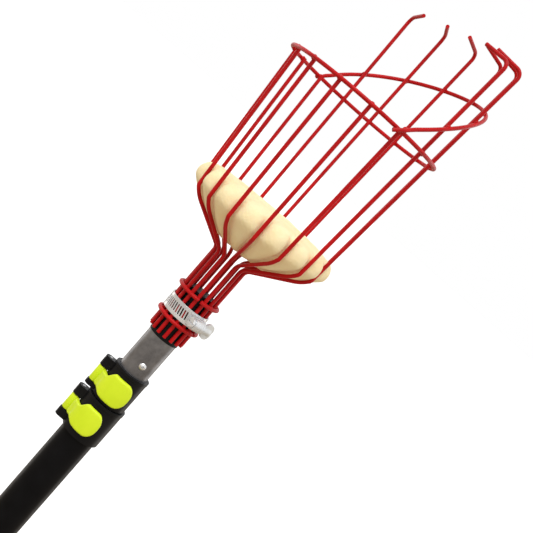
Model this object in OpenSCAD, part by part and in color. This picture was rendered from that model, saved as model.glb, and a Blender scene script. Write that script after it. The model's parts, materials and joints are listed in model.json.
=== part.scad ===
// Fruit picker: a wire basket with hooked fingers, clamped on a telescopic pole.
//
// The pole axis is the Z axis and points from the butt to the basket's mouth.
// The origin is the middle of the hand grip. The fingers stand over -Y, and
// "bearing" angles are counted from -Y towards -X.

/* [Pole] */
// Outer diameter of the outer tube
outer_tube_d = 29; // [27:0.5:32]
// Outer diameter of the middle tube
middle_tube_d = 27; // [25:0.5:30]
// Outer diameter of the inner tube
inner_tube_d = 25; // [22:0.5:28]
// Wall of each tube
tube_wall = 0.9; // [0.7:0.05:1.2]
// Length of the outer tube
outer_tube_len = 483; // [460:1:900]
// Length of the hand grip
grip_len = 120; // [90:1:160]
// Outer diameter of the hand grip
grip_d = 34; // [32:0.5:40]

/* [Locks] */
// Height of the lower lock's collar
lower_collar_h = 33; // [32:0.5:42]
// Height of the upper lock's collar
upper_collar_h = 30; // [30:0.5:42]
// Outer diameter of the lower collar
lower_collar_d = 33; // [32.6:0.2:40]
// Outer diameter of the upper collar
upper_collar_d = 30; // [29.8:0.2:38]
// Bearing of the lever pins
lock_bearing = 211; // [0:1:359]
// Diameter of the lever pins
lock_pin_d = 3; // [2.5:0.1:4]
// Thickness of the lever's curved plate
lever_t = 3.2; // [2.5:0.1:4]
// Height of the lever at its pad
pad_h = 22; // [16:0.5:24]
// Height of the lever at its hinge
hinge_h = 13.5; // [10:0.5:15]
// How far the hinge's middle lies below the pad's middle
hinge_drop = 2; // [0:0.5:3]

/* [Basket wires] */
// Diameter of the coated wire
wire_d = 3; // [2.5:0.1:3.5]
// Number of wires around the basket
wire_count = 15; // [15]
// Bare pole between the upper lock and the basket
bare_tube = 38.5; // [30:0.5:60]
// Straight height of the neck
neck_h = 71.5; // [60:0.5:80]
// Radius of the first bend, out of the neck
neck_bend_r = 7; // [5:0.5:10]
// Slope of the bowl, measured from the pole axis
bowl_angle = 60; // [50:1:65]
// Radius of the rounded part of the bowl
bowl_bend_r = 32; // [20:1:40]
// Slope where the rounded part of the bowl ends
hip_angle = 38; // [25:1:40]
// Radius of the sharp bend from the bowl into the wall
hip_bend_r = 3.5; // [3:0.5:10]
// Radius of the basket where the wall starts
hip_r = 56.4; // [50:0.2:62]
// Slope of the wall, measured from the pole axis
wall_angle = 4.1; // [2:0.1:8]
// Height of the wall from the bowl to the rim
wall_h = 118; // [90:1:140]

/* [Fingers] */
// Length of the front finger above the rim, up to its bend
finger_h = 93.5; // [75:0.5:110]
// How much shorter each finger is, times its place from the front squared
finger_drop = 1.2; // [0:0.1:2]
// Inner radius of the hook's bend
hook_bend_r = 6; // [5:0.5:10]
// Straight length of the hook
hook_len = 19.5; // [10:0.5:30]
// Angle between the hook and the pole axis
hook_angle = 84; // [60:1:95]
// Height of the hoop above the rim at the front finger
hoop_h = 60; // [40:1:65]
// Bearing where the hoop crosses the rim on the left
hoop_left = 100; // [97:0.5:104]
// How far the hoop runs on past the rim on the left, in degrees
hoop_overrun = 2.5; // [0:0.5:8]
// Bearing where the hoop ends on the right
hoop_right = 94.5; // [90:0.5:100]

/* [Foam pad] */
// Radius of the foam pad between the wires
foam_r = 60; // [58:0.5:62]
// Height of the foam's top above the start of the wall
foam_top = 16; // [10:1:30]

/* [Clamp] */
// Width of the clamp band
band_w = 12; // [9:0.5:14]
// Thickness of the clamp band
band_t = 0.9; // [0.6:0.1:1.2]
// Diameter of the worm screw
screw_d = 7; // [6:0.2:8]
// Reach of each wing of the key
wing_r = 6.5; // [6:0.5:9]
// Bearing of the clamp's housing
clamp_bearing = 84; // [0:1:359]

/* [Hidden] */
$fn = 96;
eps = 0.01;

// Gaps: seat is for parts that stay together, slide for parts that run on each other
seat_gap = 0.05;
slide_gap = 0.05;
pin_gap = 0.06;
free_gap = 0.4;
axial_gap = 0.4;

// Colours
black = [0.07, 0.07, 0.08];
red = [0.78, 0.07, 0.08];
lime = [0.84, 0.93, 0.15];
silver = [0.68, 0.69, 0.7];
cream = [0.98, 0.94, 0.78];

// Tube radii
outer_r = outer_tube_d / 2;
middle_r = middle_tube_d / 2;
inner_r = inner_tube_d / 2;
wire_r = wire_d / 2;

// Heights along the pole, from the grip's middle
grip_bottom = -grip_len / 2;
cap_flange_h = 6;
cap_plug_h = 20;
outer_top = grip_bottom + outer_tube_len;
collar_over = 10;
lower_collar_top = outer_top + collar_over;
lower_collar_z = lower_collar_top - lower_collar_h;
upper_collar_z = lower_collar_top + axial_gap;
upper_collar_top = upper_collar_z + upper_collar_h;
middle_top = upper_collar_top - collar_over;
middle_bottom = grip_bottom + cap_plug_h + 10;
inner_bottom = middle_bottom + 19;
bush_flange_h = 3;
bush_plug_h = 15;
neck_bottom = upper_collar_top + bare_tube;
inner_top = neck_bottom - 3;

// Lever pin, just outside its collar
pin_reach = 4.2;
knuckle_r = 3.8;
lever_drop = 16.5;
corner_r = 2.2;

// Basket wires
neck_r = inner_r + 0.5 + wire_r;
weld_r = 2 * wire_r + seat_gap;
joint_skin = 0.03;
bowl_run = (hip_r - neck_r - neck_bend_r * (1 - cos(bowl_angle))
    - bowl_bend_r * (cos(hip_angle) - cos(bowl_angle))
    - hip_bend_r * (cos(wall_angle) - cos(hip_angle))) / sin(bowl_angle);
hip_z = neck_bottom + neck_h + neck_bend_r * sin(bowl_angle)
    + bowl_run * cos(bowl_angle)
    + bowl_bend_r * (sin(bowl_angle) - sin(hip_angle))
    + hip_bend_r * (sin(hip_angle) - sin(wall_angle));
rim_z = hip_z + wall_h;
rim_ring_r = wall_r(rim_z) + weld_r;
wire_step = 360 / wire_count;
upper_ring_z = neck_bottom + 38.5;
lower_ring_z = neck_bottom + 14;
clamp_z = neck_bottom + 23.5;
ring_opening = 7;

// Clamp
band_r = neck_r + wire_r + 0.15;
screw_offset = band_r + band_t + screw_d / 2 + 1.2;
housing_len = 10;
slot_count = 15;
slot_step = 7.5;

// Radius of the wire centres on the wall, at height z
function wall_r(z) = hip_r + (z - hip_z) * tan(wall_angle);

// Height of the bend of finger k, counted from the front one
function finger_top(k) = rim_z + finger_h - finger_drop * k * k;

// ---------------------------------------------------------------- helpers

// Places children drawn in the XZ plane, with +X pointing outwards at a bearing
module at_bearing(bearing) {
    rotate([0, 0, -90 - bearing]) children();
}

// A round tube standing on z
module tube(r_out, r_in, z, h) {
    translate([0, 0, z]) difference() {
        cylinder(r = r_out, h = h);
        translate([0, 0, -eps]) cylinder(r = r_in, h = h + 2 * eps);
    }
}

// A wire arc in the XZ plane. It starts at the origin heading up, and turns
// outwards (+X) for a positive turn and inwards for a negative one.
module wire_arc(r, turn) {
    side = turn > 0 ? 1 : -1;
    start = turn > 0 ? 180 - turn : 0;
    translate([side * r, 0, 0]) rotate([90, 0, 0]) rotate([0, 0, start])
        rotate_extrude(angle = abs(turn)) translate([r, 0]) circle(r = wire_r, $fn = 32);
}

// A bent wire in the XZ plane: each step is [straight length, bend radius, turn].
// A sphere a hair wider than the wire covers the joint between two stretches.
module bent_wire(steps, i = 0) {
    run = steps[i][0];
    r = steps[i][1];
    turn = steps[i][2];
    side = turn > 0 ? 1 : -1;
    if (i > 0) sphere(r = wire_r + joint_skin, $fn = 32);
    if (run > 0) cylinder(r = wire_r, h = run, $fn = 32);
    translate([0, 0, run]) {
        if (run > 0 && turn != 0) sphere(r = wire_r + joint_skin, $fn = 32);
        if (turn != 0) wire_arc(r, turn);
        if (i + 1 < len(steps))
            translate([side * r * (1 - cos(turn)), 0, side * r * sin(turn)])
                rotate([0, turn, 0]) bent_wire(steps, i + 1);
    }
}

// Steps from the foot of the neck to the foot of the wall
foot_steps = [
    [neck_h, neck_bend_r, bowl_angle],
    [bowl_run, bowl_bend_r, hip_angle - bowl_angle],
    [0, hip_bend_r, wall_angle - hip_angle]
];

// A basket wire at place k, continued by its own last steps
module basket_wire(k, last_steps) {
    at_bearing(k * wire_step) translate([neck_r, 0, neck_bottom])
        bent_wire(concat(foot_steps, last_steps));
}

// A long wire that runs past the rim and ends in a hook turned inwards
module finger(k) {
    turn = hook_angle + wall_angle;
    corner = hook_bend_r * tan(turn / 2);
    run = (finger_top(k) - hip_z) / cos(wall_angle) - corner;
    color(red) basket_wire(k, [[run, hook_bend_r, -turn], [hook_len, 0, 0]]);
}

// A short wire that ends under the rim ring
module short_wire(k) {
    color(red) basket_wire(k, [[(wall_h + wire_r) / cos(wall_angle), 0, 0]]);
}

// A horizontal ring of wire, open at one bearing when opening is above 0
module wire_ring(r, z, opening = 0, bearing = 0) {
    color(red) translate([0, 0, z]) rotate([0, 0, -90 - bearing + opening / 2])
        rotate_extrude(angle = 360 - opening) translate([r, 0]) circle(r = wire_r, $fn = 32);
}

// ------------------------------------------------------------------- pole

module end_cap() {
    color(black) translate([0, 0, grip_bottom]) {
        translate([0, 0, -cap_flange_h]) rotate_extrude()
            difference() {
                union() {
                    translate([0, 2]) square([grip_d / 2, cap_flange_h - 2]);
                    square([grip_d / 2 - 2, 3]);
                    translate([grip_d / 2 - 2, 2]) circle(r = 2);
                }
                translate([-5, -1]) square([5, cap_flange_h + 2]);
            }
        cylinder(r = outer_r - tube_wall - seat_gap, h = cap_plug_h);
    }
}

module grip() {
    end_r = 1.5;
    color(black) {
        tube(grip_d / 2, outer_r + seat_gap, grip_bottom, grip_len - end_r);
        tube(grip_d / 2 - end_r, outer_r + seat_gap, grip_bottom + end_r, grip_len - end_r);
    }
}

module outer_tube() {
    color(black) tube(outer_r, outer_r - tube_wall, grip_bottom, outer_tube_len);
}

module middle_tube() {
    color(silver) tube(middle_r, middle_r - tube_wall, middle_bottom, middle_top - middle_bottom);
}

module inner_tube() {
    color(silver) difference() {
        tube(inner_r, inner_r - tube_wall, inner_bottom, inner_top - inner_bottom);
        at_bearing(rivet_bearing) translate([0, 0, rivet_z]) rotate([0, 90, 0])
            cylinder(r = rivet_hole_r, h = inner_r + 1, $fn = 32);
    }
}

// A guide plug in the foot of a sliding tube. Its flange runs in the tube around it.
module guide_bush(tube_r, bottom, bore_r) {
    flange_r = bore_r - slide_gap;
    color(black) difference() {
        union() {
            translate([0, 0, bottom - bush_flange_h]) cylinder(r = flange_r, h = bush_flange_h);
            translate([0, 0, bottom]) cylinder(r = tube_r - tube_wall - seat_gap, h = bush_plug_h);
        }
        translate([0, 0, bottom - bush_flange_h - eps])
            cylinder(r = 6, h = bush_flange_h + bush_plug_h + 2 * eps);
    }
}

module middle_bush() {
    guide_bush(middle_r, middle_bottom, outer_r - tube_wall);
}

module inner_bush() {
    guide_bush(inner_r, inner_bottom, middle_r - tube_wall);
}

// Blind rivet whose head stops the inner tube on the upper collar
rivet_bearing = 109;
rivet_z = upper_collar_top + 10.6;
rivet_head_r = 2.9;
rivet_hole_r = 1.6;

module stop_rivet() {
    head_h = 1.3;
    ball_r = (rivet_head_r * rivet_head_r + head_h * head_h) / (2 * head_h);
    color(silver) at_bearing(rivet_bearing) translate([0, 0, rivet_z]) rotate([0, 90, 0])
        difference() {
            union() {
                translate([0, 0, inner_r - 3]) cylinder(r = rivet_hole_r - 0.02, h = 4, $fn = 32);
                intersection() {
                    translate([0, 0, inner_r + head_h - ball_r + 0.3]) sphere(r = ball_r);
                    translate([0, 0, inner_r + 0.3]) cylinder(r = rivet_head_r, h = head_h + 1);
                }
            }
            translate([0, 0, inner_r - 1]) cylinder(r = 1, h = 6, $fn = 32);
        }
}

// ------------------------------------------------------------------ locks

// Direction and place of the lever pin on a collar of radius r
module at_pin(r) {
    at_bearing(lock_bearing) translate([r + pin_reach, 0, 0]) children();
}

// Clamping collar. It sits on one tube, and its split top grips the next one.
module collar(z, h, r, seat_r, grip_r) {
    lug_r = 4.2;
    lug_foot = 0.5;
    lug_h = h - lug_foot - 2.7;
    lip_h = 2.6;
    lip_r = r + 0.3;
    seat_h = h - collar_over;
    knuckle_z = z + h - lever_drop - hinge_drop;
    knuckle_gap = hinge_h + 3 * axial_gap;
    color(black) difference() {
        union() {
            translate([0, 0, z]) cylinder(r = r, h = h);
            translate([0, 0, z + h - lip_h]) cylinder(r = lip_r, h = lip_h);
            translate([0, 0, z + lug_foot]) at_pin(r) cylinder(r = lug_r, h = lug_h, $fn = 48);
            translate([0, 0, z + lug_foot]) at_bearing(lock_bearing)
                translate([r - 1, -lug_r, 0]) cube([pin_reach + 1, 2 * lug_r, lug_h]);
        }
        translate([0, 0, z - eps]) cylinder(r = seat_r + seat_gap, h = seat_h + eps);
        translate([0, 0, z]) cylinder(r = grip_r + slide_gap, h = h + 1);
        // Room for the lever's knuckle between the two lugs
        difference() {
            translate([0, 0, knuckle_z - knuckle_gap / 2]) at_bearing(lock_bearing)
                translate([0, -lug_r - 5, 0]) cube([r + 12, 2 * lug_r + 10, knuckle_gap]);
            translate([0, 0, z]) cylinder(r = r + 0.03, h = h);
        }
        translate([0, 0, z]) at_pin(r) cylinder(r = lock_pin_d / 2 + 0.02, h = h, $fn = 48);
        // Axial split behind the lugs, so that the top can close on the tube
        translate([0, 0, z + h * 0.45]) at_bearing(lock_bearing + 26)
            translate([grip_r - 2, -0.8, 0]) cube([r, 1.6, h]);
    }
}

// Outline of a lever seen from outside: x runs along the wrap, y along the pole
module lever_outline() {
    hinge_x = 24;
    pad_x = 11;
    tip_x = -11;
    tip_r = 7.5;
    pad_w = pad_x - tip_x;
    // Neck between the hinge and the pad
    translate([pad_x - 4, -hinge_drop - hinge_h / 2]) square([hinge_x - pad_x + 4, hinge_h]);
    // Pad, with round corners at its tip
    translate([tip_x, tip_r - pad_h / 2]) square([pad_w, pad_h - 2 * tip_r]);
    translate([tip_x + tip_r, -pad_h / 2]) square([pad_w - tip_r - corner_r, pad_h]);
    for (side = [-1, 1]) {
        translate([tip_x + tip_r, side * (pad_h / 2 - tip_r)]) circle(r = tip_r);
        translate([pad_x - corner_r, side * (pad_h / 2 - corner_r)]) circle(r = corner_r);
    }
    translate([pad_x - 2 * corner_r, corner_r - pad_h / 2]) square([2 * corner_r, pad_h - 2 * corner_r]);
}

// Cam lever: a curved plate around the collar with a knuckle on the pin
module lever(top, collar_r, wrap) {
    z = top - lever_drop;
    in_r = collar_r + free_gap;
    hinge_z = z - hinge_drop;
    knuckle_h = hinge_h + 0.4;
    color(lime) difference() {
        union() {
            intersection() {
                tube(in_r + lever_t, in_r, z - pad_h, 2 * pad_h);
                translate([0, 0, z]) at_bearing(lock_bearing - wrap) rotate([90, 0, 90])
                    linear_extrude(height = 40) mirror([1, 0]) lever_outline();
            }
            translate([0, 0, hinge_z - knuckle_h / 2]) at_pin(collar_r)
                cylinder(r = knuckle_r, h = knuckle_h, $fn = 48);
        }
        translate([0, 0, hinge_z - hinge_h]) at_pin(collar_r)
            cylinder(r = lock_pin_d / 2 + pin_gap, h = 2 * hinge_h, $fn = 48);
    }
}

module lock_pin(z, h, collar_r) {
    color(silver) translate([0, 0, z + 2]) at_pin(collar_r)
        cylinder(r = lock_pin_d / 2, h = h - 4.5, $fn = 48);
}

module lower_collar() {
    collar(lower_collar_z, lower_collar_h, lower_collar_d / 2, outer_r, middle_r);
}

module upper_collar() {
    collar(upper_collar_z, upper_collar_h, upper_collar_d / 2, middle_r, inner_r);
}

module lower_lock_pin() {
    lock_pin(lower_collar_z, lower_collar_h, lower_collar_d / 2);
}

module upper_lock_pin() {
    lock_pin(upper_collar_z, upper_collar_h, upper_collar_d / 2);
}

module lower_lever() {
    lever(lower_collar_top, lower_collar_d / 2, 85);
}

module upper_lever() {
    lever(upper_collar_top, upper_collar_d / 2, 93);
}

// ----------------------------------------------------------------- basket

// Plug on the end of the pole that the neck wires are clamped around
module tip_plug() {
    body_h = 45;
    shank_h = 20;
    rib_count = 4;
    rib_step = 2.6;
    rib_depth = 0.8;
    body_r = inner_r + 0.5 - seat_gap;
    color(black) difference() {
        union() {
            translate([0, 0, inner_top]) cylinder(r = body_r, h = body_h);
            translate([0, 0, inner_top - shank_h])
                cylinder(r = inner_r - tube_wall - seat_gap, h = shank_h + eps);
        }
        for (i = [1:rib_count])
            tube(body_r + 1, body_r - rib_depth, inner_top + body_h - i * rib_step, rib_step / 2);
        translate([0, 0, inner_top - shank_h - eps]) cylinder(r = 8, h = shank_h + body_h - 4);
    }
}

module finger_front() { finger(0); }
module finger_left_1() { finger(1); }
module finger_left_2() { finger(2); }
module finger_left_3() { finger(3); }
module finger_right_1() { finger(-1); }
module finger_right_2() { finger(-2); }
module finger_right_3() { finger(-3); }
module wire_left_4() { short_wire(4); }
module wire_left_5() { short_wire(5); }
module wire_left_6() { short_wire(6); }
module wire_left_7() { short_wire(7); }
module wire_right_4() { short_wire(-4); }
module wire_right_5() { short_wire(-5); }
module wire_right_6() { short_wire(-6); }
module wire_right_7() { short_wire(-7); }

module rim_ring() {
    wire_ring(rim_ring_r, rim_z);
}

module upper_neck_ring() {
    wire_ring(neck_r + weld_r, upper_ring_z, ring_opening, 113);
}

module lower_neck_ring() {
    wire_ring(neck_r + weld_r, lower_ring_z, ring_opening, 62);
}

// Slanted hoop around the outside of the fingers. It is highest at the front finger.
// Its right end lies on the outside of the rim ring, and its left end runs on below it.
hoop_sides = 20;
hoop_rings = 64;
hoop_foot = -1;

function hoop_share(b) =
    let (end = b > 0 ? hoop_left : hoop_right, share = (cos(b) - cos(end)) / (1 - cos(end)))
    b > 0 ? share : pow(max(0, share), 0.85);
function hoop_z(b) = rim_z + hoop_foot + (hoop_h - hoop_foot) * hoop_share(b);
function hoop_r(b) = wall_r(hoop_z(b)) + weld_r * (1 + clear_of_rim((hoop_z(b) - rim_z) / 8));
function clear_of_rim(rise) =
    let (x = min(1, max(0, rise)))
    1 - x * x * (3 - 2 * x);
function hoop_point(b) = [-hoop_r(b) * sin(b), -hoop_r(b) * cos(b), hoop_z(b)];
function hoop_bearing(i) = -hoop_right + (hoop_right + hoop_left + hoop_overrun) * i / hoop_rings;
function unit(v) = v / norm(v);

// One ring of points of the hoop's skin, square to its path
function hoop_skin_ring(b) =
    let (
        along = unit(hoop_point(b + 0.5) - hoop_point(b - 0.5)),
        out = unit(cross(along, [0, 0, 1])),
        up = cross(out, along)
    )
    [for (j = [0:hoop_sides - 1])
        hoop_point(b) + wire_r * (cos(j * 360 / hoop_sides) * out + sin(j * 360 / hoop_sides) * up)];

module finger_hoop() {
    points = [for (i = [0:hoop_rings]) each hoop_skin_ring(hoop_bearing(i))];
    sides = [for (i = [0:hoop_rings - 1], j = [0:hoop_sides - 1])
        let (a = i * hoop_sides, b = a + hoop_sides, k = (j + 1) % hoop_sides)
        [a + j, b + j, b + k, a + k]];
    foot = [for (j = [0:hoop_sides - 1]) j];
    head = [for (j = [hoop_sides - 1:-1:0]) hoop_rings * hoop_sides + j];
    color(red) polyhedron(points = points, faces = concat([foot], sides, [head]), convexity = 6);
}

// Foam pad that fills the bowl, with a lobe squeezed out between each two wires
module foam_pad() {
    body_r = hip_r - wire_r - 0.9;
    lobe_r = 8.6;
    lobe_z = hip_z + 1.3;
    side_h = foam_top - 5;
    floor_z = hip_z - 23;
    color(cream) {
        rotate_extrude() polygon([
            [0, floor_z], [20, floor_z], [38, hip_z - 12.5], [body_r - 4, hip_z - 3.7],
            [body_r, hip_z + 2.1], [body_r, hip_z + side_h], [body_r - 6, hip_z + foam_top],
            [0, hip_z + foam_top]
        ]);
        for (i = [0:wire_count - 1])
            at_bearing((i + 0.5) * wire_step) translate([foam_r - lobe_r, 0, lobe_z])
                sphere(r = lobe_r, $fn = 48);
    }
}

// ------------------------------------------------------------------ clamp

// Places children with +Z along the worm screw, at the housing's middle
module at_screw() {
    translate([0, 0, clamp_z]) at_bearing(clamp_bearing)
        translate([screw_offset, 0, 0]) rotate([-90, 0, 0]) children();
}

module clamp_band() {
    color(silver) difference() {
        tube(band_r + band_t, band_r, clamp_z - band_w / 2, band_w);
        for (i = [1:slot_count])
            translate([0, 0, clamp_z]) at_bearing(clamp_bearing + 22 + i * slot_step)
                translate([band_r - 1, 0, 0]) rotate([12, 0, 0])
                    translate([0, -0.55, -3.3]) cube([3, 1.1, 6.6]);
    }
}

module clamp_housing() {
    shell_r = screw_d / 2 + 1.1;
    foot_w = 10;
    color(silver) difference() {
        union() {
            at_screw() translate([0, 0, -housing_len / 2]) cylinder(r = shell_r, h = housing_len, $fn = 64);
            at_screw() translate([-screw_d / 2 - 2.2, -foot_w / 2, -housing_len / 2])
                cube([screw_d / 2 + 2.2, foot_w, housing_len]);
        }
        at_screw() translate([0, 0, -housing_len])
            cylinder(r = screw_d / 2 + pin_gap, h = 2 * housing_len, $fn = 64);
        translate([0, 0, clamp_z - 20]) cylinder(r = band_r + band_t + seat_gap, h = 40);
    }
}

// Worm screw with a slotted round head
module clamp_screw() {
    head_h = 2.2;
    head_r = 3.9;
    body_len = housing_len + 2 * 0.5;
    color(silver) at_screw() difference() {
        union() {
            translate([0, 0, -body_len / 2]) cylinder(r = screw_d / 2, h = body_len, $fn = 64);
            translate([0, 0, -body_len / 2 - head_h]) cylinder(r = head_r, h = head_h, $fn = 64);
            translate([0, 0, body_len / 2 - eps]) cylinder(r = 2, h = 5.8, $fn = 48);
        }
        translate([-5, -0.5, -body_len / 2 - head_h - eps]) cube([10, 1, 1.1]);
    }
}

// Butterfly key fixed on the far end of the screw
module clamp_wing() {
    start = housing_len / 2 + 1.2;
    wing_t = 2.2;
    lobe_r = 4.2;
    color(silver) at_screw() translate([0, 0, start]) difference() {
        union() {
            translate([0, 0, -0.3]) cylinder(r = 3, h = 6.6, $fn = 48);
            rotate([90, 0, 90]) translate([0, 0, -wing_t / 2]) linear_extrude(wing_t) {
                translate([lobe_r - wing_r, 0]) square([2 * (wing_r - lobe_r), 2 * lobe_r]);
                for (side = [-1, 1])
                    translate([side * (wing_r - lobe_r), lobe_r]) circle(r = lobe_r, $fn = 48);
            }
        }
        translate([0, 0, -4]) cylinder(r = 2 + 0.02, h = 9.3, $fn = 48);
    }
}

// --------------------------------------------------------------- selection

end_cap();
grip();
outer_tube();
lower_collar();
lower_lock_pin();
lower_lever();
middle_tube();
middle_bush();
upper_collar();
upper_lock_pin();
upper_lever();
inner_tube();
inner_bush();
stop_rivet();
tip_plug();
finger_front();
finger_left_1();
finger_left_2();
finger_left_3();
finger_right_1();
finger_right_2();
finger_right_3();
wire_left_4();
wire_left_5();
wire_left_6();
wire_left_7();
wire_right_4();
wire_right_5();
wire_right_6();
wire_right_7();
rim_ring();
finger_hoop();
upper_neck_ring();
lower_neck_ring();
foam_pad();
clamp_band();
clamp_housing();
clamp_screw();
clamp_wing();
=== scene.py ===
"""Fruit picker basket: the looks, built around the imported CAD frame."""

import json
import math
import random

import bmesh
import bpy
from mathutils import Matrix, Vector, noise


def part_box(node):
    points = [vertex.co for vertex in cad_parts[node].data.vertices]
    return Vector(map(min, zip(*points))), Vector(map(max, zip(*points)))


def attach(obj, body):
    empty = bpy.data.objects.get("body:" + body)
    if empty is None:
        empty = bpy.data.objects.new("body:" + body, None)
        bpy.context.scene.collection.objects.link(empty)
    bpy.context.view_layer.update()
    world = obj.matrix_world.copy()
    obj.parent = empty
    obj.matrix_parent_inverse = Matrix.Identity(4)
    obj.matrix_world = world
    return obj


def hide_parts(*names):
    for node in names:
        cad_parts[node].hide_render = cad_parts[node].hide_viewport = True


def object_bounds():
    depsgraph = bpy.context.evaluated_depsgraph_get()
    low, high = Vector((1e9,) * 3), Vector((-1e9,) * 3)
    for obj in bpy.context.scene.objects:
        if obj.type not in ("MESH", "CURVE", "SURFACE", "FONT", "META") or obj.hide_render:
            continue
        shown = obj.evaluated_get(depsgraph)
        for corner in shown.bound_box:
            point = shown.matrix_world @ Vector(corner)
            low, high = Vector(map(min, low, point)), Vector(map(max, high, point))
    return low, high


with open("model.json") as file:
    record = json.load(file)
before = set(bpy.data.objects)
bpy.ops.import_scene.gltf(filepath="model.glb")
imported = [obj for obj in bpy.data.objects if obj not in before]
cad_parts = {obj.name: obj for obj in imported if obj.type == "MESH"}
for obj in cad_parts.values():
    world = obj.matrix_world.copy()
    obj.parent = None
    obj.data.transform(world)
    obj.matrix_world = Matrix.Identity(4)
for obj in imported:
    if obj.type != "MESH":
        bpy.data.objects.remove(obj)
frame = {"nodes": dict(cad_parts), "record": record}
cad_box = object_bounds()
MM = 0.001

# ------------------------------------------------------------------ places
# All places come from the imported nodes. Bearings are counted from -Y towards -X.
WIRE_COUNT = 15
WIRE_STEP = 360 / WIRE_COUNT
WIRE_R = 1.5 * MM
SHORT_LAST = 4  # place of the first short wire, counted from the front finger


NECK_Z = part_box("finger_front")[0].z
# The wires bend from the bowl to the wall this far below the foam's top
HIP_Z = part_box("foam_pad")[1].z - 16 * MM


def outward(bearing):
    """Level direction away from the pole's axis."""
    b = math.radians(bearing)
    return Vector((-math.sin(b), -math.cos(b), 0))


def polar(radius, bearing, z):
    return outward(bearing) * radius + Vector((0, 0, z))


# --------------------------------------------------------------- materials
class Nodes:
    """A short way to write a material's node tree."""

    def __init__(self, name):
        self.material = bpy.data.materials.new(name)
        self.material.use_nodes = True
        self.tree = self.material.node_tree
        self.shader = self.tree.nodes["Principled BSDF"]
        self.coords = self.add("ShaderNodeTexCoord").outputs["Object"]

    def add(self, kind, **settings):
        node = self.tree.nodes.new(kind)
        for key, value in settings.items():
            if hasattr(node, key):
                setattr(node, key, value)
            else:
                node.inputs[key.replace("_", " ")].default_value = value
        return node

    def link(self, source, target):
        self.tree.links.new(source, target)
        return self

    def set(self, **values):
        for key, value in values.items():
            self.shader.inputs[key.replace("_", " ")].default_value = value
        return self

    def stretched(self, scale):
        mapping = self.add("ShaderNodeMapping")
        mapping.inputs["Scale"].default_value = scale
        self.link(self.coords, mapping.inputs["Vector"])
        return mapping.outputs["Vector"]

    def noise(self, scale, detail=4, roughness=0.5, vector=None):
        node = self.add("ShaderNodeTexNoise", Scale=scale, Detail=detail, Roughness=roughness)
        self.link(vector or self.coords, node.inputs["Vector"])
        return node.outputs["Fac"]

    def ramp(self, source, *stops):
        node = self.add("ShaderNodeValToRGB")
        marks = node.color_ramp.elements
        while len(marks) < len(stops):
            marks.new(0.5)
        for mark, (place, colour) in zip(marks, stops):
            mark.position = place
            mark.color = (*colour, 1) if len(colour) == 3 else colour
        self.link(source, node.inputs["Fac"])
        return node.outputs["Color"]

    def range(self, source, low, high):
        node = self.add("ShaderNodeMapRange")
        node.inputs["To Min"].default_value = low
        node.inputs["To Max"].default_value = high
        self.link(source, node.inputs["Value"])
        return node.outputs["Result"]

    def bump(self, height, distance, strength=1.0, below=None):
        node = self.add("ShaderNodeBump", Strength=strength, Distance=distance)
        self.link(height, node.inputs["Height"])
        if below is not None:
            self.link(below, node.inputs["Normal"])
        return node.outputs["Normal"]

    def soft_edges(self, radius):
        node = self.add("ShaderNodeBevel", Radius=radius)
        node.samples = 4
        return node.outputs["Normal"]

    def colour(self, source):
        return self.link(source, self.shader.inputs["Base Color"])

    def roughness(self, source):
        return self.link(source, self.shader.inputs["Roughness"])

    def normal(self, source):
        return self.link(source, self.shader.inputs["Normal"])


def red_coating():
    m = Nodes("red_coating")
    m.colour(m.ramp(m.noise(90, detail=3), (0.3, (0.4, 0.003, 0.004)), (0.7, (0.53, 0.006, 0.008))))
    m.roughness(m.range(m.noise(400), 0.3, 0.46))
    m.normal(m.bump(m.noise(650, detail=2), 0.00014, 0.55))
    m.set(Specular_IOR_Level=0.16)
    return m.material


def drawn_aluminium():
    m = Nodes("bare_aluminium")
    streaks = m.noise(260, detail=6, vector=m.stretched((1, 1, 0.03)))
    blotches = m.noise(70, detail=6, roughness=0.65)
    m.colour(m.ramp(blotches, (0.32, (0.15, 0.15, 0.16)), (0.7, (0.3, 0.3, 0.315))))
    m.roughness(m.range(streaks, 0.3, 0.5))
    m.normal(m.bump(streaks, 0.00006, 0.6, below=m.bump(m.noise(1500), 0.00004, 0.6)))
    m.set(Metallic=1.0)
    return m.material


def black_coat():
    m = Nodes("black_tube")
    m.colour(m.ramp(m.noise(60), (0.3, (0.003, 0.003, 0.0035)), (0.8, (0.006, 0.006, 0.007))))
    m.roughness(m.range(m.noise(180, detail=6), 0.28, 0.42))
    m.normal(m.bump(m.noise(2200, detail=2), 0.00003, 0.5))
    m.set(Specular_IOR_Level=0.08)
    return m.material


def ribbed_rubber():
    m = Nodes("grip_rubber")
    ribs = m.add("ShaderNodeTexWave", Scale=62.0, Distortion=0.0)
    ribs.bands_direction = "Z"
    m.link(m.coords, ribs.inputs["Vector"])
    m.colour(m.ramp(m.noise(120), (0.3, (0.008, 0.008, 0.009)), (0.8, (0.018, 0.018, 0.019))))
    m.roughness(m.range(m.noise(300), 0.6, 0.8))
    m.normal(m.bump(ribs.outputs["Fac"], 0.0008, 0.8, below=m.bump(m.noise(1800), 0.00008, 0.6)))
    m.set(Specular_IOR_Level=0.25)
    return m.material


def moulded_black(name, low=0.3, high=0.44):
    m = Nodes(name)
    m.colour(m.ramp(m.noise(80), (0.3, (0.004, 0.004, 0.0045)), (0.8, (0.008, 0.008, 0.009))))
    m.roughness(m.range(m.noise(500, detail=3), low, high))
    m.normal(m.bump(m.noise(2600, detail=2), 0.00005, 0.6, below=m.soft_edges(0.0006)))
    m.set(Specular_IOR_Level=0.13)
    return m.material


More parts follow.
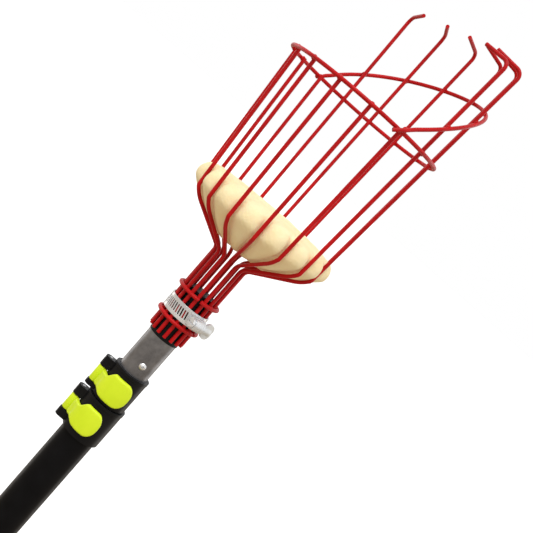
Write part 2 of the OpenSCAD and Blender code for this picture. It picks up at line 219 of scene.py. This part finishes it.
def lime_plastic():
    m = Nodes("lime_plastic")
    m.colour(m.ramp(m.noise(70), (0.25, (0.62, 0.80, 0.012)), (0.75, (0.70, 0.86, 0.022))))
    m.roughness(m.range(m.noise(600, detail=3), 0.36, 0.5))
    m.normal(m.bump(m.noise(1600, detail=3), 0.00006, 0.5))
    m.set(Subsurface_Weight=0.08, Subsurface_Scale=0.002, Specular_IOR_Level=0.3)
    m.shader.inputs["Subsurface Radius"].default_value = (1.0, 1.0, 0.3)
    return m.material


def cream_foam():
    m = Nodes("cream_foam")
    pores = m.add("ShaderNodeTexVoronoi", Scale=1500.0)
    m.link(m.coords, pores.inputs["Vector"])
    big_pores = m.add("ShaderNodeTexVoronoi", Scale=420.0)
    m.link(m.coords, big_pores.inputs["Vector"])
    m.colour(m.ramp(m.noise(40, detail=6), (0.25, (0.94, 0.75, 0.42)), (0.75, (0.98, 0.85, 0.54))))
    m.roughness(m.range(m.noise(300), 0.85, 1.0))
    fine = m.bump(pores.outputs["Distance"], 0.00025, 0.7)
    m.normal(m.bump(big_pores.outputs["Distance"], 0.0003, 0.35, below=fine))
    m.set(Subsurface_Weight=0.1, Subsurface_Scale=0.004, Specular_IOR_Level=0.1)
    m.shader.inputs["Subsurface Radius"].default_value = (1.0, 0.75, 0.4)
    return m.material


def plated_steel(name, base, low, high, grain=(1, 1, 0.2), edges=0.0003, metallic=1.0):
    """Metal with fine scratches; low and high are the ends of its roughness."""
    m = Nodes(name)
    scratches = m.noise(900, detail=5, vector=m.stretched(grain))
    m.colour(m.ramp(m.noise(150), (0.3, tuple(c * 0.75 for c in base)), (0.75, base)))
    m.roughness(m.range(scratches, low, high))
    m.normal(m.bump(scratches, 0.00004, 0.5, below=m.soft_edges(edges)))
    m.set(Metallic=metallic)
    return m.material


MATERIALS = {
    "red_coating": red_coating(),
    "bare_aluminium": drawn_aluminium(),
    "black_tube": black_coat(),
    "grip_rubber": ribbed_rubber(),
    "black_plastic": moulded_black("black_plastic"),
    "bush_plastic": moulded_black("bush_plastic", 0.45, 0.6),
    "plug_plastic": moulded_black("plug_plastic", 0.4, 0.55),
    "lime_plastic": lime_plastic(),
    "pin_steel": plated_steel("pin_steel", (0.55, 0.55, 0.55), 0.3, 0.45),
    "rivet_aluminium": plated_steel("rivet_aluminium", (0.9, 0.9, 0.9), 0.3, 0.45),
    "cream_foam": cream_foam(),
    "clamp_steel": plated_steel("clamp_steel", (0.84, 0.86, 0.88), 0.2, 0.36, grain=(1, 1, 3), metallic=0.55),
    "wing_zinc": plated_steel(
        "wing_zinc", (0.86, 0.88, 0.88), 0.35, 0.55, grain=(1, 1, 1), edges=0.0006, metallic=0.4
    ),
}


def finish_cad_nodes():
    """Gives each carried-over CAD node the material of its slot."""
    slot_of = {s["node"]: s["material_slot"] for s in frame["record"]["subparts"]}
    for name, obj in frame["nodes"].items():
        obj.data.materials.clear()
        obj.data.materials.append(MATERIALS[slot_of[name]])


# ------------------------------------------------------------ mesh helpers
def make_object(name, vertices, faces, slot, body):
    """A smooth-shaded piece that rides on a body."""
    mesh = bpy.data.meshes.new(name)
    mesh.from_pydata([tuple(v) for v in vertices], [], faces)
    bm = bmesh.new()
    bm.from_mesh(mesh)
    bmesh.ops.remove_doubles(bm, verts=bm.verts, dist=1e-6)
    bmesh.ops.recalc_face_normals(bm, faces=bm.faces)
    bm.to_mesh(mesh)
    bm.free()
    for face in mesh.polygons:
        face.use_smooth = True
    obj = bpy.data.objects.new(name, mesh)
    bpy.context.scene.collection.objects.link(obj)
    mesh.materials.append(MATERIALS[slot])
    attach(obj, body)
    return obj


def ease(x):
    """Eases from 0 to 1 as x goes from 0 to 1."""
    x = min(max(x, 0.0), 1.0)
    return x * x * (3 - 2 * x)


def along(points, t):
    """The point at t, from 0 to 1, on a smooth curve through evenly spaced points."""
    n = len(points) - 1
    i = min(int(t * n), n - 1)
    f = t * n - i
    p0, p1, p2, p3 = (points[min(max(i + k, 0), n)] for k in (-1, 0, 1, 2))
    return tuple(
        0.5 * (2 * b + (c - a) * f + (2 * a - 5 * b + 4 * c - d) * f * f + (3 * b - a - 3 * c + d) * f ** 3)
        for a, b, c, d in zip(p0, p1, p2, p3)
    )


# -------------------------------------------------------------------- foam
# Half outlines of the foam, (radius, height above the bend) in mm, from the
# middle of the underside to the middle of the top: under a wire, and in a lobe
AT_WIRE = [(0, -20), (20, -19), (31, -14.5), (38, -10.5), (44.5, -6.5), (49.5, -2.5), (52.5, 0.5),
           (53.7, 3.5), (54, 8), (53.4, 12.5), (50, 16), (42, 17.8), (24, 18.6), (0, 19)]
AT_LOBE = [(0, -20.5), (20, -20.5), (32, -17.5), (40, -14), (47, -9.5), (53.5, -4), (58.5, 0.5),
           (61.2, 4), (61.6, 8.5), (60, 12.8), (56, 16.3), (46, 18), (26, 18.8), (0, 19)]


# Lobes that are squeezed furthest out between their wires, counted from the front finger
BIG_LOBES = (0, 1, 8, 9)
BIG_SWELL = 0.5


def foam_pad():
    """Foam squeezed into the bowl: a scalloped cushion with a lobe between each two wires."""
    columns_per_lobe = 18
    rows = 64
    clear = 0.075  # share of the gap beside each wire that stays under it
    rng = random.Random(7)
    swell = [rng.uniform(0.6, 0.85) + (BIG_SWELL if i in BIG_LOBES else 0) for i in range(WIRE_COUNT)]
    lean = [rng.uniform(-0.12, 0.12) for _ in range(WIRE_COUNT)]
    columns = WIRE_COUNT * columns_per_lobe
    vertices = []
    for c in range(columns):
        lobe, place = divmod(c / columns_per_lobe, 1)
        lobe = int(lobe)
        bearing = (lobe + place) * WIRE_STEP
        u = min(max((place - clear) / (1 - 2 * clear), 0.0), 1.0)
        u = u + lean[lobe] * u * (1 - u) * 2
        bulge = math.sin(math.pi * u) ** 0.55 * swell[lobe]
        for r in range(1, rows):
            t = r / rows
            at_wire, at_lobe = along(AT_WIRE, t), along(AT_LOBE, t)
            radius = at_wire[0] + (at_lobe[0] - at_wire[0]) * bulge
            height = at_wire[1] + (at_lobe[1] - at_wire[1]) * bulge
            p = polar(radius * MM, bearing, HIP_Z + height * MM)
            ripple = noise.noise(p * 55) * 0.9 + noise.noise(p * 150) * 0.25
            keep = ease(bulge * 2.5) if 34 < radius else 1
            vertices.append(p + (outward(bearing) * 0.7 + Vector((0, 0, 0.7))) * ripple * MM * keep)
    faces = []
    ring = rows - 1
    for c in range(columns):
        d = (c + 1) % columns
        for r in range(ring - 1):
            faces.append((c * ring + r, d * ring + r, d * ring + r + 1, c * ring + r + 1))
    bottom, top = len(vertices), len(vertices) + 1
    vertices += [Vector((0, 0, HIP_Z + AT_WIRE[0][1] * MM)), Vector((0, 0, HIP_Z + AT_WIRE[-1][1] * MM))]
    for c in range(columns):
        d = (c + 1) % columns
        faces.append((bottom, d * ring, c * ring))
        faces.append((top, c * ring + ring - 1, d * ring + ring - 1))
    foam = make_object("foam_cushion", vertices, faces, "cream_foam", "head_section")
    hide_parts("foam_pad")
    return foam


# ------------------------------------------------------------------- beads
def bead(vertices, faces, at, radii, axes, seed):
    """One lumpy blob of coating, with its own radii along three axes."""
    rings, turns = 7, 12
    start = len(vertices)
    rng = random.Random(seed)
    phase = rng.uniform(0, 9)
    for i in range(rings + 1):
        polar_angle = math.pi * i / rings
        for j in range(turns):
            turn = 2 * math.pi * j / turns
            flat = math.sin(polar_angle)
            d = (flat * math.cos(turn), flat * math.sin(turn), math.cos(polar_angle))
            lump = 1 + 0.1 * math.sin(3 * turn + phase) * flat
            vertices.append(at + sum((axes[k] * radii[k] * d[k] * lump for k in range(3)), Vector()))
    for i in range(rings):
        for j in range(turns):
            a, b = start + i * turns + j, start + i * turns + (j + 1) % turns
            faces.append((a, b, b + turns, a + turns))


def ring_at(node, bearing):
    """Radius and height of a ring's wire at a bearing, or None where the ring is open."""
    spots = []
    for vertex in frame["nodes"][node].data.vertices:
        p = frame["nodes"][node].matrix_world @ vertex.co
        turn = math.degrees(math.atan2(-p.x, -p.y)) - bearing
        if abs((turn + 180) % 360 - 180) < 1.7:
            spots.append((math.hypot(p.x, p.y), p.z))
    if not spots:
        return None
    radii, heights = zip(*spots)
    return (min(radii) + max(radii)) / 2, (min(heights) + max(heights)) / 2


def weld_beads():
    """Coating drawn up around each weld between the basket's wires and its rings."""
    vertices, faces = [], []
    up = Vector((0, 0, 1))
    for k in range(-7, 8):
        bearing = k * WIRE_STEP
        rings = ["rim_ring", "upper_neck_ring", "lower_neck_ring"]
        if abs(k) <= SHORT_LAST:
            rings.append("finger_hoop")
        for ring in rings:
            place = ring_at(ring, bearing)
            if place is None:
                continue
            spread = 1.9 * MM if "neck" in ring else 2.2 * MM
            at = polar(place[0] - WIRE_R, bearing, place[1])
            axes = (outward(bearing), outward(bearing + 90), up)
            bead(vertices, faces, at, (1.6 * MM, spread, spread), axes, seed=len(vertices))
    make_object("weld_beads", vertices, faces, "red_coating", "head_section")


# ------------------------------------------------------------------ levers
LOCK_BEARING = 211.0
PAD_START = 170  # bearing where the neck starts to widen into the pad
PAD_FULL = 147  # bearing where the pad has its full height
LIP = 0.3 * MM  # a collar's lip stands this far out from its wall
PIN_REACH = 4.2 * MM  # from the collar's surface to the pin's axis
HINGE_DROP = 2.0 * MM  # the hinge's middle lies this far below the pad's middle
HINGE_HALF = 6.75 * MM  # half the length of its knuckle


def lever(name, node, collar, body, tip_bearing):
    """A flip lever: a crowned plate round its collar, with a waisted neck and a knuckle."""
    low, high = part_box(node)
    mid_z, half_pad = (low.z + high.z) / 2, (high.z - low.z) / 2
    collar_r = -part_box(collar)[0].x - LIP
    inner_r = collar_r + 0.45 * MM
    thick = 3.0 * MM
    wrap = LOCK_BEARING - tip_bearing
    pad_start = (LOCK_BEARING - PAD_START) / wrap
    pad_full = (LOCK_BEARING - PAD_FULL) / wrap
    along_steps, across_steps = 72, 24
    vertices, faces = [], []

    def edges(s):
        """Heights of the upper and lower edge, from the pad's middle."""
        grow = ease((s - pad_start) / (pad_full - pad_start))
        waist = 0.3 * MM * math.exp(-((s - pad_start * 0.75) / 0.1) ** 2)
        neck_top = HINGE_HALF - HINGE_DROP - waist
        neck_bottom = -HINGE_HALF - HINGE_DROP + waist
        taper = max(0.0, (s - 0.74) / 0.26)
        tip = max(0.0, 1 - taper ** 3) ** 0.5
        top = neck_top + (half_pad - neck_top) * grow
        bottom = neck_bottom + (-half_pad - neck_bottom) * grow
        return top * tip, bottom * tip

    def surface(s, t, outer):
        top, bottom = edges(s)
        width = (top - bottom) / 2
        z = mid_z + (top + bottom) / 2 + width * t
        side = min(1.0, (1 - abs(t)) * max(width, 1e-5) / (1.5 * MM))
        end = min(1.0, (1 - s) * 40 * MM / (1.5 * MM))
        round_off = math.sqrt(max(0.0, 1 - (1 - min(side, end)) ** 2))
        crown = 0.6 * MM * (1 - t * t) * ease((s - pad_start) / 0.2)
        neck_crease = math.exp(-((s - pad_start * 0.8) / 0.06) ** 2)
        pad_crease = 0.6 * math.exp(-((s - pad_full) / 0.05) ** 2)
        dent = 0.55 * MM * (neck_crease + pad_crease) * (1 - 0.5 * t)
        bearing = LOCK_BEARING - s * wrap
        if outer:
            return polar(inner_r + thick * (0.4 + 0.6 * round_off) + crown - dent, bearing, z)
        return polar(inner_r + 0.25 * MM * (1 - round_off), bearing, z)

    for outer in (True, False):
        for i in range(along_steps + 1):
            s = 1 - (1 - i / along_steps) ** 1.3
            for j in range(across_steps + 1):
                vertices.append(surface(s, math.sin(math.pi * (j / across_steps - 0.5)), outer))
    row = across_steps + 1
    sheet = (along_steps + 1) * row
    for i in range(along_steps):
        for j in range(across_steps):
            a = i * row + j
            faces.append((a, a + 1, a + row + 1, a + row))
            faces.append((sheet + a, sheet + a + row, sheet + a + row + 1, sheet + a + 1))
        for a in (i * row, i * row + across_steps):
            faces.append((a, a + row, sheet + a + row, sheet + a))
    for j in range(across_steps):
        for a in (j, along_steps * row + j):
            faces.append((a, a + 1, sheet + a + 1, sheet + a))
    pin = outward(LOCK_BEARING) * (collar_r + PIN_REACH)
    knuckle(vertices, faces, pin, mid_z - HINGE_DROP, HINGE_HALF + 0.2 * MM)
    piece = make_object(name, vertices, faces, "lime_plastic", body)
    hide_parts(node)


def knuckle(vertices, faces, pin, mid_z, half_height):
    """The lever's hinge barrel: a tube around the pin with rounded ends."""
    turns = 40
    outline = [(1.56, -1), (3.2, -1), (3.62, -0.965), (3.8, -0.9),
               (3.8, 0.9), (3.62, 0.965), (3.2, 1), (1.56, 1)]
    start = len(vertices)
    for i in range(turns):
        a = 2 * math.pi * i / turns
        for radius, height in outline:
            spot = Vector((math.cos(a), math.sin(a), 0)) * radius * MM
            vertices.append(pin + spot + Vector((0, 0, mid_z + height * half_height)))
    n = len(outline)
    for i in range(turns):
        for j in range(n):
            a, b = start + i * n + j, start + i * n + (j + 1) % n
            c, d = start + (i + 1) % turns * n + (j + 1) % n, start + (i + 1) % turns * n + j
            faces.append((a, b, c, d))


# ------------------------------------------------------------------- stage
def stage():
    floor_z = cad_box[0].z - 0.2 * MM
    mesh = bpy.data.meshes.new("floor")
    half = 300.0
    corners = [(-half, -half, floor_z), (half, -half, floor_z), (half, half, floor_z), (-half, half, floor_z)]
    mesh.from_pydata(corners, [], [(0, 1, 2, 3)])
    floor = bpy.data.objects.new("floor", mesh)
    bpy.context.scene.collection.objects.link(floor)
    pale = Nodes("pale_floor")
    pale.colour(pale.ramp(pale.noise(2), (0.3, (0.93, 0.93, 0.93)), (0.7, (0.95, 0.95, 0.95))))
    pale.set(Roughness=0.9, Specular_IOR_Level=0.1)
    mesh.materials.append(pale.material)
    floor.visible_diffuse = floor.visible_glossy = False


# The photograph's view: where the camera stands, where it looks and what is up
CAMERA_AT = Vector((-0.6003, 0.3797, 0.6681))
CAMERA_LOOK = Vector((0.8222, -0.5587, -0.1093))
CAMERA_UP = Vector((0.4389, 0.4999, 0.7466))


def camera():
    data = bpy.data.cameras.new("camera")
    data.lens = 65.07
    data.sensor_width = 36
    obj = bpy.data.objects.new("camera", data)
    bpy.context.scene.collection.objects.link(obj)
    back = -CAMERA_LOOK.normalized()
    right = CAMERA_UP.cross(back).normalized()
    up = back.cross(right)
    turn = Matrix((right, up, back)).transposed().to_4x4()
    obj.matrix_world = Matrix.Translation(CAMERA_AT) @ turn
    bpy.context.scene.camera = obj


def lights():
    sun = bpy.data.lights.new("key_light", "SUN")
    sun.energy = 1.3
    sun.angle = math.radians(25)
    key = bpy.data.objects.new("key_light", sun)
    key.rotation_mode = "QUATERNION"
    key.rotation_quaternion = Vector((-0.45, 0.5, 1.0)).to_track_quat("Z", "Y")
    bpy.context.scene.collection.objects.link(key)

    # Tall soft boxes behind the pole, one to each side, for the bright edges of the tubes
    forward = Vector((CAMERA_LOOK.x, CAMERA_LOOK.y, 0)).normalized()
    for name, turn in (("left_strip", 52), ("right_strip", -52)):
        strip = bpy.data.lights.new(name, "AREA")
        strip.shape = "RECTANGLE"
        strip.size, strip.size_y = 0.35, 1.4
        strip.energy = 2.5
        box = bpy.data.objects.new(name, strip)
        side = Matrix.Rotation(math.radians(turn), 3, "Z") @ forward
        box.location = side + Vector((0, 0, NECK_Z))
        box.rotation_mode = "QUATERNION"
        box.rotation_quaternion = side.to_track_quat("Z", "Y")
        box.visible_diffuse = False
        bpy.context.scene.collection.objects.link(box)

    # A white room above the floor and a dim one below it
    world = bpy.data.worlds.new("studio")
    bpy.context.scene.world = world
    world.use_nodes = True
    tree = world.node_tree
    coords = tree.nodes.new("ShaderNodeTexCoord")
    height = tree.nodes.new("ShaderNodeSeparateXYZ")
    horizon = tree.nodes.new("ShaderNodeMapRange")
    horizon.inputs["From Min"].default_value = -0.1
    horizon.inputs["From Max"].default_value = -0.02
    ramp = tree.nodes.new("ShaderNodeValToRGB")
    dim, white = ramp.color_ramp.elements
    dim.color, white.color = (0.55, 0.46, 0.35, 1), (1, 1, 1, 1)
    tree.links.new(coords.outputs["Generated"], height.inputs["Vector"])
    tree.links.new(height.outputs["Z"], horizon.inputs["Value"])
    tree.links.new(horizon.outputs["Result"], ramp.inputs["Fac"])
    tree.links.new(ramp.outputs["Color"], tree.nodes["Background"].inputs["Color"])
    bpy.context.scene.view_settings.view_transform = "Standard"


# ------------------------------------------------------------------- build
finish_cad_nodes()
foam_pad()
weld_beads()
lever("lower_lever_cover", "lower_lever", "lower_collar", "lower_lock_lever", 95)
lever("upper_lever_cover", "upper_lever", "upper_collar", "upper_lock_lever", 80.5)
stage()
camera()
lights()
